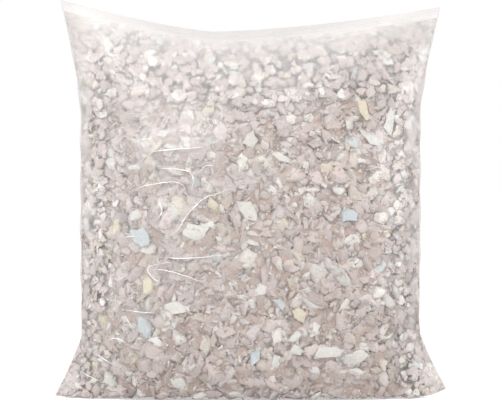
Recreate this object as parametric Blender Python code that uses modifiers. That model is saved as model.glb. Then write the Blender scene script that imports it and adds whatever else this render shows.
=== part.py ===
"""A clear film pillow bag packed with shredded foam flakes, standing upright on its flattened underside.

Units are metres, with +Z up. The origin is the middle of the footprint on the floor, and the front of
the bag faces -Y. The bag is one length of film tube, welded flat across its bottom and its top. The
filling is one packed mass of grey flakes with the larger white, cream, yellow and blue flakes bedded
in its surface, each in a pocket of its own.
"""

import math
import random

import bmesh
import bpy
from mathutils import Matrix, Vector, noise
from mathutils.bvhtree import BVHTree

# Outline of the filled bag, seen from the front
FOOT_SPAN = 0.432  # between the tips of the two bottom corners
WAIST_SPAN = 0.373
TOP_SPAN = 0.418  # between the tips of the two top corners
LEFT_PEAK = 0.438  # height of the top left corner
RIGHT_PEAK = 0.430
DIP_HEIGHT = 0.403  # height of the top edge at its lowest point
DIP_PLACE = -0.2  # where that point is, as a share of the half width
LEFT_SWEEP = 1.3  # a higher power keeps the top edge low for longer before it rises to its corner
RIGHT_SWEEP = 1.6
FOOT_FLARE = 0.062  # height over which the bottom corners spread out of the sides
FOOT_FLARE_CURVE = 1.2
TOP_FLARE = 0.125  # depth over which the top corners spread out of the sides
TOP_FLARE_CURVE = 1.4
LEFT_LIFT = 0.002  # how far the tip of each bottom corner is off the floor
RIGHT_LIFT = 0.010
LIFTED_SHARE = 0.2  # the outer part of each half of the bag that rises to its tip

# Thickness of the filled bag, front to back
BAG_DEPTH = 0.140
FOOT_DEPTH = 0.096  # across the flat that the bag stands on
FOOT_ROUND = 0.026  # height in which the sides swell out above that flat
TOP_CLOSING = 5.0  # a higher power keeps the bag thick for longer below its top weld
TOP_ROUNDING = 0.9
SECTION_POWER = 2.8  # a higher power makes the front and back flatter
SIDE_CURVE = 0.6  # a higher power makes the side edges sharper
CORNER_CURVE = 1.25  # the same, where the tube is pressed flat into its corners
FOOT_PRESSED = 0.15  # share of the height, from the floor, in which the tube rounds out from flat
TOP_PRESSED = 0.25  # share of the height below the top weld in which it goes flat again

# Film
FILM_THICKNESS = 0.00008
MOUTH_GAP = 0.0003  # between the two sheets that are pressed together at the top
LUMP_HEIGHT = 0.0050  # soft lumps in the filling that show in the film
LUMP_SIZE = 0.060
LUMP_FADE = 0.030  # lumps are full where the bag is this deep, front to middle, and fade out below that
PUCKER_HEIGHT = 0.0032  # gathers along the two side edges
PUCKER_NARROWING = 8  # a higher power keeps the gathers closer to the edges
PUCKERS = 9
PLEAT_HEIGHT = 0.0040  # folds that run down from the top weld
PLEAT_PLACE = 0.93  # share of the height where they are deepest
PLEAT_SPREAD = 0.05
PLEAT_SLANT = 5.0
PLEATS = 7
FILM_COLUMNS = 64
FILM_ROWS = 24
UNDERSIDE_ROWS = 3
ROW_CROWDING = 0.6  # 0 spaces the rows of faces evenly, 1 crowds them near the floor and the top weld

# Filling
FILL_CLEARANCE = 0.0008  # from the film to the packed flakes
FILL_LEVEL = 0.955  # height of the packed flakes, as a share of the bag's
SIDE_SPACE = 0.003  # film at the side edges that the flakes don't reach
FILL_SPAN = 0.394  # widest the flakes get, in the bottom and top corners
FILL_ROUNDING = 12.0  # a higher power makes the top and sides of the filling blunter
FILL_COLUMNS = 88
FILL_ROWS = 42
FLAKE_RELIEF = 0.0085  # depth of the deepest hollows between neighbouring flakes
RELIEF_POWER = 1.5  # a higher power makes deep hollows rarer
STEEPEST_HOLLOW = 0.6  # depth of a hollow, as a share of the distance to the next corner
DEEPEST_HOLLOW = 0.25  # depth of a hollow, as a share of the filling's thickness there
FLAKE_JITTER = 0.5  # scatter of the flakes' corners, as a share of their spacing
FLAKE_THICKNESS = 0.0065
FLAKE_CORNERS = 7
POCKET_CLEARANCE = 0.0004  # between a bedded flake and its pocket
POCKET_REACH = 0.012  # a pocket is open this far towards the film
FLAKE_SEED = 11
HALF_CELL = Vector((0.5, 0.5, 0.5))

FRONT = -1
BACK = 1

# The larger flakes: colour, face, place across as a share of the half width, height as a share of the
# dip height, length and width in metres, and turn in degrees from upright
BEDDED_FLAKES = (
    ("blue", FRONT, -0.62, 0.19, 0.024, 0.015, 5),
    ("blue", FRONT, 0.64, 0.85, 0.024, 0.014, -18),
    ("blue", FRONT, 0.57, 0.49, 0.018, 0.015, 40),
    ("blue", FRONT, -0.64, 0.43, 0.024, 0.020, 15),
    ("blue", FRONT, 0.03, 0.12, 0.017, 0.012, -40),
    ("blue", FRONT, 0.18, 0.26, 0.012, 0.010, 20),
    ("blue", BACK, 0.35, 0.66, 0.022, 0.014, 30),
    ("blue", BACK, -0.42, 0.28, 0.020, 0.015, -25),
    ("yellow", FRONT, -0.89, 0.20, 0.034, 0.012, 0),
    ("yellow", FRONT, 0.90, 0.84, 0.032, 0.012, 4),
    ("yellow", FRONT, 0.66, 0.76, 0.024, 0.010, 14),
    ("yellow", FRONT, -0.24, 0.79, 0.016, 0.014, 0),
    ("yellow", FRONT, -0.22, 0.53, 0.021, 0.013, 12),
    ("yellow", FRONT, -0.79, 0.45, 0.021, 0.010, -5),
    ("yellow", FRONT, 0.29, 0.23, 0.017, 0.014, 30),
    ("yellow", FRONT, -0.88, 0.085, 0.024, 0.010, 10),
    ("yellow", FRONT, -0.60, 0.30, 0.018, 0.010, 0),
    ("yellow", BACK, 0.10, 0.40, 0.024, 0.012, -12),
    ("yellow", BACK, -0.62, 0.72, 0.026, 0.012, 20),
    ("cream", FRONT, 0.29, 0.84, 0.030, 0.014, 12),
    ("cream", FRONT, -0.26, 0.145, 0.034, 0.013, -6),
    ("cream", FRONT, 0.84, 0.93, 0.022, 0.013, 25),
    ("cream", FRONT, 0.76, 0.095, 0.016, 0.012, 0),
    ("cream", BACK, 0.55, 0.24, 0.026, 0.014, 35),
    ("white", FRONT, 0.44, 0.128, 0.030, 0.020, 80),
    ("white", FRONT, 0.60, 0.110, 0.034, 0.018, 70),
    ("white", FRONT, 0.27, 0.135, 0.016, 0.013, 60),
    ("white", FRONT, -0.32, 0.46, 0.030, 0.024, 35),
    ("white", FRONT, -0.03, 0.52, 0.028, 0.020, 50),
    ("white", FRONT, 0.72, 0.68, 0.032, 0.014, 60),
    ("white", FRONT, 0.84, 0.71, 0.034, 0.014, -5),
    ("white", FRONT, 0.26, 0.175, 0.018, 0.014, -50),
    ("white", FRONT, -0.58, 0.925, 0.024, 0.015, 80),
    ("white", FRONT, -0.40, 0.88, 0.028, 0.020, 75),
    ("white", FRONT, -0.27, 0.88, 0.014, 0.013, 0),
    ("white", FRONT, -0.91, 0.92, 0.016, 0.013, 70),
    ("white", FRONT, -0.83, 0.78, 0.020, 0.011, 75),
    ("white", FRONT, -0.84, 0.60, 0.022, 0.015, 40),
    ("white", FRONT, 0.07, 0.30, 0.014, 0.013, 0),
    ("white", FRONT, -0.01, 0.71, 0.016, 0.014, 10),
    ("white", FRONT, 0.19, 0.65, 0.020, 0.011, 65),
    ("white", FRONT, 0.87, 0.28, 0.018, 0.013, 55),
    ("white", FRONT, -0.80, 0.055, 0.020, 0.014, 50),
    ("white", FRONT, -0.44, 0.25, 0.026, 0.011, 85),
    ("white", FRONT, 0.03, 0.89, 0.022, 0.013, 80),
    ("white", BACK, -0.20, 0.82, 0.028, 0.018, 40),
    ("white", BACK, 0.62, 0.46, 0.030, 0.017, 65),
    ("white", BACK, -0.05, 0.16, 0.026, 0.020, 10),
    ("white", BACK, -0.72, 0.50, 0.024, 0.015, 80),
    ("white", BACK, 0.28, 0.90, 0.020, 0.014, 15),
)

# Colour, roughness and alpha of each material
FINISHES = {
    "film": ((0.93, 0.93, 0.94), 0.12, 0.22),
    "grey": ((0.60, 0.53, 0.50), 0.95, 1.0),
    "white": ((0.85, 0.85, 0.81), 0.95, 1.0),
    "cream": ((0.82, 0.77, 0.66), 0.95, 1.0),
    "yellow": ((0.80, 0.73, 0.47), 0.95, 1.0),
    "blue": ((0.52, 0.70, 0.75), 0.95, 1.0),
}


def clear_scene():
    for old in list(bpy.data.objects):
        bpy.data.objects.remove(old, do_unlink=True)


def make_collection(name):
    made = bpy.data.collections.new(name)
    bpy.context.scene.collection.children.link(made)
    return made


def make_materials():
    made = {}
    for name, (colour, roughness, alpha) in FINISHES.items():
        material = bpy.data.materials.new(name)
        material.use_nodes = True
        shader = material.node_tree.nodes["Principled BSDF"]
        shader.inputs["Base Color"].default_value = (*colour, 1.0)
        shader.inputs["Roughness"].default_value = roughness
        shader.inputs["Metallic"].default_value = 0.0
        shader.inputs["Alpha"].default_value = alpha
        made[name] = material
    return made


def half_span(height):
    """Half the bag's width at a height, which is a share of the bag's own height there."""
    foot = max(0.0, 1 - height * DIP_HEIGHT / FOOT_FLARE) ** FOOT_FLARE_CURVE
    top = max(0.0, 1 - (1 - height) * LEFT_PEAK / TOP_FLARE) ** TOP_FLARE_CURVE
    return (
        WAIST_SPAN / 2
        + (FOOT_SPAN - WAIST_SPAN) / 2 * foot
        + (TOP_SPAN - WAIST_SPAN) / 2 * top
    )


def half_depth(height):
    swell = 1 - math.exp(-height * DIP_HEIGHT / FOOT_ROUND)
    depth = FOOT_DEPTH + (BAG_DEPTH - FOOT_DEPTH) * swell
    return depth / 2 * max(0.0, 1 - height**TOP_CLOSING) ** TOP_ROUNDING


def section(across, height):
    """How much of the half depth is left across the bag, from 1 in the middle to 0 at the sides."""
    pressed = max(1 - height / FOOT_PRESSED, 1 - (1 - height) / TOP_PRESSED, 0.0)
    curve = SIDE_CURVE + (CORNER_CURVE - SIDE_CURVE) * pressed
    return max(0.0, 1 - abs(across) ** SECTION_POWER) ** curve


def top_edge(across):
    if across < DIP_PLACE:
        rise = (DIP_PLACE - across) / (1 + DIP_PLACE)
        return DIP_HEIGHT + (LEFT_PEAK - DIP_HEIGHT) * rise**LEFT_SWEEP
    rise = (across - DIP_PLACE) / (1 - DIP_PLACE)
    return DIP_HEIGHT + (RIGHT_PEAK - DIP_HEIGHT) * rise**RIGHT_SWEEP


def bottom_edge(across):
    """Only the last part of each bottom corner rises off the floor."""
    tip = max(0.0, 1 - (1 - abs(across)) / LIFTED_SHARE)
    return (RIGHT_LIFT if across > 0 else LEFT_LIFT) * tip**2


def lump(x, z, face, depth):
    """How far the filling pushes the film out, or leaves it slack, in soft lumps."""
    swell = noise.noise(Vector((x / LUMP_SIZE, 100 * face, z / LUMP_SIZE)))
    return LUMP_HEIGHT * swell * min(1.0, depth / LUMP_FADE)


def gathers(across, height, face):
    """How far the gathered film stands out: sideways at the side edges, forwards below the top weld."""
    free = min(1.0, 4 * (1 - height)) * min(1.0, 10 * height)
    edge = abs(across) ** PUCKER_NARROWING
    pucker = edge * math.sin(math.pi * PUCKERS * height + across) ** 2
    hang = math.exp(-(((height - PLEAT_PLACE) / PLEAT_SPREAD) ** 2)) * (1 - across**2)
    pleat = hang * math.sin(math.pi * PLEATS * across + PLEAT_SLANT * height + face) ** 2
    return free * PUCKER_HEIGHT * pucker, free * PLEAT_HEIGHT * pleat


def round_tube(turn):
    """Where a share of the way round the tube lies: how far across the bag, and on which face. The way round
    starts at the right side edge and goes over the back, the left edge and the front."""
    turn %= 1.0
    even = 1 - 4 * min(turn, 1 - turn)
    across = (math.cos(2 * math.pi * turn) + even) / 2
    return across, BACK if turn < 0.5 else FRONT


def bag_point(across, face, height, under=1.0, inset=0.0, side_space=0.0):
    """A point on the bag's skin. across goes from -1 at the left edge to 1 at the right, height is a share of
    the bag's height there, and under goes from 1 at the rim of the flat underside to 0 at the bottom weld in
    its middle. inset moves the point into the bag, and side_space narrows the bag."""
    span = half_span(height)
    if side_space:
        span = min(span - side_space, FILL_SPAN / 2)
    reach = across * span / half_span(height)
    sideways, forwards = (0.0, 0.0) if inset else gathers(across, height, face)
    x = across * span + math.copysign(sideways, across)
    z = bottom_edge(reach) + (top_edge(reach) - bottom_edge(reach)) * height
    depth = half_depth(height) * section(reach, height)
    depth += lump(x, z, face, depth) + forwards - inset
    lip = FILM_THICKNESS + MOUTH_GAP / 2
    on_edge = abs(across) > 1 - 1e-9
    y = 0.0 if on_edge else face * max(lip, depth) * under
    return Vector((x, y, z))


def fill_point(across, face, share):
    """A point on the smooth form of the filling. share goes from 0 at its underside to 1 along its top."""
    point = bag_point(across, face, FILL_LEVEL * share, 1.0, FILL_CLEARANCE, SIDE_SPACE)
    top_round = max(0.0, 1 - share**FILL_ROUNDING)
    side_round = max(0.0, 1 - abs(across) ** FILL_ROUNDING)
    point.y *= (top_round * side_round) ** 0.5
    point.z = max(point.z, FILL_CLEARANCE)
    return point


def wrapped_grid(columns, rows, place):
    """A grid wrapped round into a tube: place(turn, rise) gives each point, and equal points are welded."""
    shape = bmesh.new()
    bmesh.ops.create_grid(shape, x_segments=columns, y_segments=rows, size=0.5)
    for corner in shape.verts:
        turn, rise = corner.co.x + 0.5, corner.co.y + 0.5
        corner.co = place(round(turn * columns) % columns, round(rise * rows))
    bmesh.ops.remove_doubles(shape, verts=shape.verts, dist=1e-6)
    bmesh.ops.dissolve_degenerate(shape, edges=shape.edges, dist=1e-6)
    bmesh.ops.recalc_face_normals(shape, faces=shape.faces)
    return shape


def row_height(row):
    """Rows of the film lie closer together near the floor and near the top weld, where it bends most."""
    share = row / FILM_ROWS
    crowded = (1 - math.cos(math.pi * share)) / 2
    return share + (crowded - share) * ROW_CROWDING


def add_object(name, shape, collection, material, smooth=False):
    mesh = bpy.data.meshes.new(name)
    shape.to_mesh(mesh)
    shape.free()
    if material:
        mesh.materials.append(material)
    if smooth:
        mesh.shade_smooth()
    made = bpy.data.objects.new(name, mesh)
    collection.objects.link(made)
    return made


def make_film(collection, material):
    """The tube of film, closed along the bottom weld. At the top its two sheets are pressed together."""

    def place(column, row):
        under = min(1.0, row / UNDERSIDE_ROWS)
        height = row_height(max(0, row - UNDERSIDE_ROWS))
        across, face = round_tube(column / FILM_COLUMNS)
        return bag_point(across, face, height, under)

    shape = wrapped_grid(FILM_COLUMNS, UNDERSIDE_ROWS + FILM_ROWS, place)
    film = add_object("film_bag", shape, collection, material, smooth=True)
    wall = film.modifiers.new("film thickness", "SOLIDIFY")
    wall.thickness = FILM_THICKNESS
    wall.offset = -1
    wall.use_even_offset = True
    wall.use_quality_normals = True
    return film


def film_tree(film):
    """The outer skin of the film, for measuring how far inside it a point lies."""
    return BVHTree.FromPolygons(
        [corner.co.copy() for corner in film.data.vertices],
        [list(face.vertices) for face in film.data.polygons],
    )


def kept_inside(point, tree, margin):
    """The point, moved into the bag where it is nearer than margin to the film."""
    found, normal, _, _ = tree.find_nearest(point)
    depth = (found - point).dot(normal)
    return found - normal * margin if depth < margin else point


def roughen(shape, tree):
    """Press hollows of random depth into the filling, and keep all of it clear of the film."""
    chance = random.Random(FLAKE_SEED)
    smooth_form = BVHTree.FromBMesh(shape)
    moves = []
    for corner in shape.verts:
        inward = -corner.normal
        _, _, _, thickness = smooth_form.ray_cast(corner.co + inward * 1e-5, inward)
        spacing = min(edge.calc_length() for edge in corner.link_edges)
        depth = min(
            FLAKE_RELIEF * chance.random() ** RELIEF_POWER,
            STEEPEST_HOLLOW * spacing,
            DEEPEST_HOLLOW * (thickness or 0.0),
        )
        moves.append((corner, inward * depth))
    for corner, move in moves:
        corner.co = kept_inside(corner.co + move, tree, FILM_THICKNESS + FILL_CLEARANCE)


def make_packed_flakes(collection, material, tree):
    """The mass of grey flakes: a closed body inside the film, rough all over with flake-sized facets."""

    def place(column, row):
        cell = Vector((column, row, FLAKE_SEED)) + HALF_CELL
        scatter = (noise.cell_vector(cell) - HALF_CELL) * FLAKE_JITTER
        turn = column / FILL_COLUMNS
        share = row / FILL_ROWS
        if row < FILL_ROWS:
            turn += (row % 2 / 2 + scatter.x) / FILL_COLUMNS
        if 0 < row < FILL_ROWS:
            share += scatter.y / FILL_ROWS
        across, face = round_tube(turn)
        return fill_point(across, face, share)

    shape = wrapped_grid(FILL_COLUMNS, FILL_ROWS, place)
    rim = [edge for edge in shape.edges if edge.is_boundary]
    bmesh.ops.holes_fill(shape, edges=rim, sides=len(rim))
    bmesh.ops.triangulate(shape, faces=shape.faces, quad_method="ALTERNATE")
    bmesh.ops.recalc_face_normals(shape, faces=shape.faces)
    shape.normal_update()
    roughen(shape, tree)
    return add_object("packed_flakes", shape, collection, material)


def flake_place(face, across, share, turn):
    """Where a flake is bedded: axes along it, across it and out of the filling, and its middle."""
    step = 0.01

    def at(sideways, upwards):
        return fill_point(across + sideways, face, share + upwards)

    rising = (at(0, step) - at(0, -step)).normalized()
    sideways = (at(-face * step, 0) - at(face * step, 0)).normalized()
    outward = sideways.cross(rising).normalized()
    along = Matrix.Rotation(math.radians(turn), 3, outward) @ rising
    axes = Matrix((along, outward.cross(along), outward)).transposed()
    return Matrix.Translation(at(0, 0) - outward * FLAKE_THICKNESS / 2) @ axes.to_4x4()


def hull_of(points):
    """The smallest convex body round the points."""
    shape = bmesh.new()
    for point in points:
        shape.verts.new(point)
    made = bmesh.ops.convex_hull(shape, input=shape.verts)
    spare = [part for part in made["geom_interior"] if isinstance(part, bmesh.types.BMVert)]
    bmesh.ops.delete(shape, geom=spare, context="VERTS")
    bmesh.ops.recalc_face_normals(shape, faces=shape.faces)
    return shape


def flake_points(chance, length, width):
    """Corners of one shredded flake: flat on its two broad sides, ragged round its rim."""
    points = []
    for corner in range(FLAKE_CORNERS):
        angle = 2 * math.pi * (corner + chance.uniform(-0.3, 0.3)) / FLAKE_CORNERS
        ragged = chance.uniform(0.85, 1.1)
        for side in (-1, 1):
            reach = ragged * chance.uniform(0.85, 1.0)
            x = length / 2 * math.cos(angle) * reach
            y = width / 2 * math.sin(angle) * reach
            z = FLAKE_THICKNESS / 2 * side * chance.uniform(0.7, 1.0)
            points.append(Vector((x, y, z)))
    return points


def pocket_points(points):
    """The room that a flake needs, with clearance all round, and open a long way towards the film."""
    room = []
    for point in points:
        away = Vector([math.copysign(POCKET_CLEARANCE, share) for share in point])
        room.append(point + away)
        room.append(point + away + Vector((0, 0, POCKET_REACH)))
    return room


def make_bedded_flakes(collection, cutters, materials, tree):
    """Each larger flake, and the pocket that holds it."""
    chance = random.Random(FLAKE_SEED)
    counts = {}
    for colour, face, across, up, length, width, turn in BEDDED_FLAKES:
        counts[colour] = counts.get(colour, 0) + 1
        name = f"{colour}_flake_{counts[colour]:02d}"
        placed = flake_place(face, across, up / FILL_LEVEL, turn)
        points = [
            placed.inverted() @ kept_inside(placed @ point, tree, FILM_THICKNESS + FILL_CLEARANCE)
            for point in flake_points(chance, length, width)
        ]
        flake = add_object(name, hull_of(points), collection, materials[colour])
        flake.matrix_world = placed
        pocket = add_object(name + "_pocket", hull_of(pocket_points(points)), cutters, None)
        pocket.matrix_world = placed
        pocket.hide_render = True
        pocket.display_type = "WIRE"


def cut_pockets(packed, cutters):
    cut = packed.modifiers.new("pockets", "BOOLEAN")
    cut.operation = "DIFFERENCE"
    cut.operand_type = "COLLECTION"
    cut.collection = cutters
    cut.solver = "EXACT"


def main():
    clear_scene()
    parts = make_collection("bag_of_foam_flakes")
    cutters = make_collection("pockets")
    materials = make_materials()
    film = make_film(parts, materials["film"])
    tree = film_tree(film)
    packed = make_packed_flakes(parts, materials["grey"], tree)
    make_bedded_flakes(parts, cutters, materials, tree)
    cut_pockets(packed, cutters)


main()
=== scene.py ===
"""The looks of a clear film pillow bag packed with shredded foam flakes.

Everything is in metres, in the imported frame: +Z up, the front of the bag facing -Y, the floor at z = 0.
The skin of the bag follows the same formula as the solid film_bag. The flakes are laid under that skin,
in layers, round the whole bag.
"""

import math

import bmesh
import bpy
import numpy as np
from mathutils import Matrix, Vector, noise


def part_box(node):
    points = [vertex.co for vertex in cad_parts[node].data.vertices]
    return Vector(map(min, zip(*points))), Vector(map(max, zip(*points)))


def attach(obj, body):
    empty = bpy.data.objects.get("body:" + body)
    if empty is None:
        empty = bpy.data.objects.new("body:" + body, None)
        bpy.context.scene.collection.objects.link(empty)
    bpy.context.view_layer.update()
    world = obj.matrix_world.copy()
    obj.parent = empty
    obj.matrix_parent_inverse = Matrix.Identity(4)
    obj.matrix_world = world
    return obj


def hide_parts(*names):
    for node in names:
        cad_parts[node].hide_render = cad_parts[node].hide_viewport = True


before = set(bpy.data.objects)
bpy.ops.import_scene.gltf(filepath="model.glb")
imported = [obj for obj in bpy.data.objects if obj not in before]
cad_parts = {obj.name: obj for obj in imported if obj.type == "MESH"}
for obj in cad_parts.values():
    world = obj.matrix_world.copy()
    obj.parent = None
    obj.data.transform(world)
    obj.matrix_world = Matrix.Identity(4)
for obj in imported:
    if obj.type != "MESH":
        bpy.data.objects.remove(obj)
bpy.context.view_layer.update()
BAG_LOW, BAG_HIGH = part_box("film_bag")
SEED = 20

# Outline and section of the bag, as the solid film_bag has them, but with finer gathers at its sides
FOOT_SPAN = BAG_HIGH.x - BAG_LOW.x
WAIST_SPAN = 0.373
TOP_SPAN = 0.418
LEFT_PEAK = BAG_HIGH.z
RIGHT_PEAK = 0.430
DIP_HEIGHT = 0.403
DIP_PLACE = -0.2
LEFT_SWEEP = 1.3
RIGHT_SWEEP = 1.6
FOOT_FLARE = 0.062
FOOT_FLARE_CURVE = 1.2
TOP_FLARE = 0.125
TOP_FLARE_CURVE = 1.4
LEFT_LIFT = 0.002
RIGHT_LIFT = 0.010
LIFTED_SHARE = 0.2
BAG_DEPTH = 0.140
FOOT_DEPTH = 0.096
FOOT_ROUND = 0.026
TOP_CLOSING = 5.0
TOP_ROUNDING = 0.9
SECTION_POWER = 2.8
SIDE_CURVE = 0.6
CORNER_CURVE = 1.25
FOOT_PRESSED = 0.15
TOP_PRESSED = 0.25
LUMP_HEIGHT = 0.0050
LUMP_SIZE = 0.060
LUMP_FADE = 0.030
PUCKER_HEIGHT = 0.0012
PUCKER_NARROWING = 8
PUCKERS = 9
PLEAT_HEIGHT = 0.0040
PLEAT_PLACE = 0.93
PLEAT_SPREAD = 0.05
PLEAT_SLANT = 5.0
PLEATS = 7
TOP_FADE = 4  # a higher value lets gathers and folds come closer to the top
FOOT_FADE = 10
FRONT = -1
BACK = 1

# Light from all round, and the floor, with what it adds to itself so that the camera sees it white
SKY_LIGHT = 0.65
FLOOR_GLOW = 0.56
FLOOR_WHITE = (0.85, 0.85, 0.85, 1)
FLOOR_SIZE = 12.0

# Lamps: name, place, width and height, and power in watts
LAMP_TARGET = (0, 0, 0.2)
LAMPS = (
    ("key", (-0.95, -2.3, 1.85), (2.0, 2.0), 23),
    ("top", (-0.20, -0.9, 2.30), (1.8, 1.2), 8),
    ("left", (-2.2, -0.9, 0.80), (1.4, 1.4), 11),
    ("right", (2.2, -0.9, 0.80), (1.4, 1.4), 17),
    ("back", (0.5, 2.4, 1.50), (2.0, 2.0), 21),
    ("strip", (-0.75, -1.90, 1.80), (1.2, 0.16), 3),
)

# Camera
CAMERA_DISTANCE = 4.0
CAMERA_RISE = 1.0  # degrees above level
CAMERA_TARGET = (-0.0005, 0.0, 0.2178)
SENSOR_WIDTH = 36.0
FRAME_WIDTH = 0.550
FARTHEST_SEEN = 50.0

# Film
FRONT_COLUMNS = 260
BACK_COLUMNS = 110
FILM_ROWS = 180
UNDERSIDE_ROWS = 6
ROW_CROWDING = 0.35  # rows are closer towards the foot and the top
WELD_GAP = 0.0002
WELD_REACH = 2e-6  # points closer than this are one
PRESS_HEIGHT = 0.00055  # soft bumps where flakes press against the film
PRESS_SIZE = 0.016
CREASE_HEIGHT = 0.0011
CREASE_WIDTH = 0.0020
CREASE_ENDS = (0.06, 0.94)  # a crease is as weak at its ends as at these shares of its length
FILM_TINT = (0.947, 0.928, 0.921, 1)  # what one sheet lets through
# the white of the film's milk, which also makes the painted glare
MILK_AND_GLARE = (0.935, 0.908, 0.898, 1)
# white of the fold crests: partly stress-whitened film, partly a painted highlight
FOLD_WHITE_AND_HIGHLIGHT = (0.95, 0.94, 0.935, 1)
LEAST_GLOSS = 0.055
MOST_GLOSS = 0.22
GLOSS_CURVE = 3.0  # a higher value keeps the gloss closer to the outline

# Milkiness of the film, from 0 for clear to 1, and the ranges of height or width over which it rises; some
# of it, beside the creases and over the upper left, is painted glare
CLEAR_MILK = 0.04
PATCH_MILK = 0.06
PATCH_SIZE = 0.05
GLARE_BESIDE_CREASES = 0.12  # painted glare: milk beside the creases that stands in for the lamps' reflection in them
GLARE_BESIDE_CREASES_WIDTH = 0.017
CROWN_MILK = 0.46  # loose film over the highest flakes
CROWN_RANGE = (0.72, 0.94)
CROWN_CURVE = 1.5
BAND_MILK = 0.13  # added just under the empty film
BAND_RANGE = (0.925, 0.965)
FIN_CLEARING = 0.85  # the empty film along the top is clearer
FIN_RANGE = (0.970, 0.990)
SIDE_MILK = 0.50
SIDE_RANGE = (0.87, 0.95)
SIDE_RISE = 2.2
SIDE_LEAST = 0.4
CLOUD_MEAN = 0.72
CLOUD_SPREAD = 1.1
CLOUD_LIMITS = (0.2, 1.2)
CLOUD_WIDTH = 0.012
CLOUD_HEIGHT = 0.018
UPPER_LEFT_GLARE = 0.20  # painted glare: milk over the upper left that stands in for the lamps' reflection there
UPPER_LEFT_GLARE_ACROSS = (0.2, -0.4)
UPPER_LEFT_GLARE_RANGE = (0.55, 0.80)

# Sharp folds along the creases: place across, height and milkiness, as shares of the most; the milky crests
# are partly stress-whitened film and partly painted highlight lines
RIBBON_WIDTH = 0.0013
RIBBON_HEIGHT = 0.0009
RIBBON_REST = 0.0004
RIBBON_SWAY = 0.0007
RIBBON_SWAY_SIZE = 0.006
RIBBON_THINNEST = 0.55
RIBBON_SWELL = 0.9
RIBBON_SWELL_SIZE = 0.008
RIBBON_ENDS = (0.02, 0.98)
RIBBON_PROFILE = (
    (-1.0, 0.0, 0.0),
    (-0.6, 0.45, 0.4),
    (-0.25, 0.9, 0.95),
    (0.0, 1.0, 1.0),
    (0.25, 0.9, 0.95),
    (0.6, 0.45, 0.4),
    (1.0, 0.0, 0.0),
)

# Creases of the film on the front, as lists of x and z in millimetres
CREASES = (
    ((-134, 226), (-111, 235), (-80, 238), (-67, 228)),
    ((-107, 254), (-66, 249), (-63, 228)),
    ((-58, 246), (-48, 256), (-37, 255)),
    ((16, 246), (-30, 228), (-51, 220), (-69, 202), (-80, 185), (-101, 173)),
    ((-122, 258), (-107, 270), (-93, 273), (-66, 275), (-51, 276)),
    ((-107, 157), (-66, 156), (-16, 161)),
    ((-80, 153), (-110, 146), (-105, 134), (-93, 128)),
    ((-109, 145), (-80, 140), (-37, 124)),
    ((-137, 99), (-118, 97), (-100, 96)),
    ((-139, 96), (-131, 84), (-122, 69)),
    ((-155, 64), (-146, 68), (-125, 57)),
    ((-170, 52), (-161, 45), (-149, 39)),
    ((-188, 31), (-176, 25), (-163, 19)),
    ((-139, 178), (-122, 180)),
    ((-146, 129), (-132, 140)),
    ((-101, 220), (-96, 207), (-102, 196)),
    ((-119, 284), (-107, 285)),
    ((-79, 294), (-70, 294)),
)

# Form of the filling
FILL_CLEARANCE = 0.0008
FILL_LEVEL = 0.960
FILL_SPAN = 0.412
FILL_ROUNDING = 12.0
SIDE_SPACE = 0.0008

# Form of a flake, mostly as shares of its size or thickness
CORNERS = 6
RIM_CORNERS = 2 * CORNERS
CORNER_SPACING = (0.2, 1.8)
CORNER_REACH = (0.62, 1.12)
TORN_EDGE = (-0.16, 0.10)
SLIMNESS = (0.38, 1.0)
THICKNESS_SHARE = (0.10, 0.27)
LEAST_THICKNESS = 0.0010
MOST_THICKNESS = 0.0040
EDGE_SOFTNESS = 0.0003
MOST_SOFTNESS = 0.25
EDGE_BEVEL = 1.5
MOST_BEVEL = 0.5
SIDE_SHIFT = 0.10  # the two broad sides are shifted against each other
SIDE_SLANT = (-0.20, 0.12)  # and one is larger than the other
WOBBLE = 0.22
DOMING = (-0.2, 0.25)
FOLDING = 0.28
MOST_FOLDING = 0.6
TWISTING = 0.35
MOST_TILT = 1.2  # radians
CELL_RELIEF = 0.35  # pits of the foam's cells, beside its torn surface

# Layers of flakes from the film inwards: name, number of flakes, smallest and largest size, gap under the
# film at least and at most, and spread of the tilt in degrees
LAYERS = (
    ("outer", 4700, 0.0070, 0.0285, 0.0002, 0.0030, 22),
    ("middle", 2200, 0.0080, 0.0240, 0.0016, 0.0036, 24),
)
SIZE_CURVE = 1.5  # the higher, the more small flakes
SIZE_ORDER = 0.6  # how much of a flake's gap follows from its size, the rest being chance
SIDEWAYS = 0.5  # flakes face less to the sides than the filling does
HIGHEST_FLAKE = 0.972
FILM_CLEARANCE = 0.0004
MOST_SHIFT = 0.018
CLOSED_SHARE = 0.9
THINNING = 0.004  # deeper flakes are thinned more where the film is nearly closed

# Crumbs
CRUMBS = 7000
CRUMB_SIZES = (0.0018, 0.0045)
CRUMB_GAPS = (0.0012, 0.0038)
CRUMB_TILT = 40
CRUMB_REACH = (0.25, 0.6)
CRUMB_SKEW = 0.15
CRUMB_CLEARANCE = 0.0008

# Inside of the filling
CORE_COLUMNS = 200
CORE_ROWS = 110
CORE_LEVEL = 0.96
CORE_DEPTH = 0.0058
CORE_ROUGHNESS = 0.004
CORE_ROUGH_SIZE = 0.008
CORE_INSET = 0.45  # the core lies inside the filling by at most this share of its depth
CORE_CLEARANCE = 0.0030
CORE_FACING = 0.02  # below this share of the height the core faces as it does there
# the core's tint is the foam's own, made warmer than most flakes, partly as painted shade for the gaps
# between them
CORE_TINT_AND_SHADE = (207, 188, 178)

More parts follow.
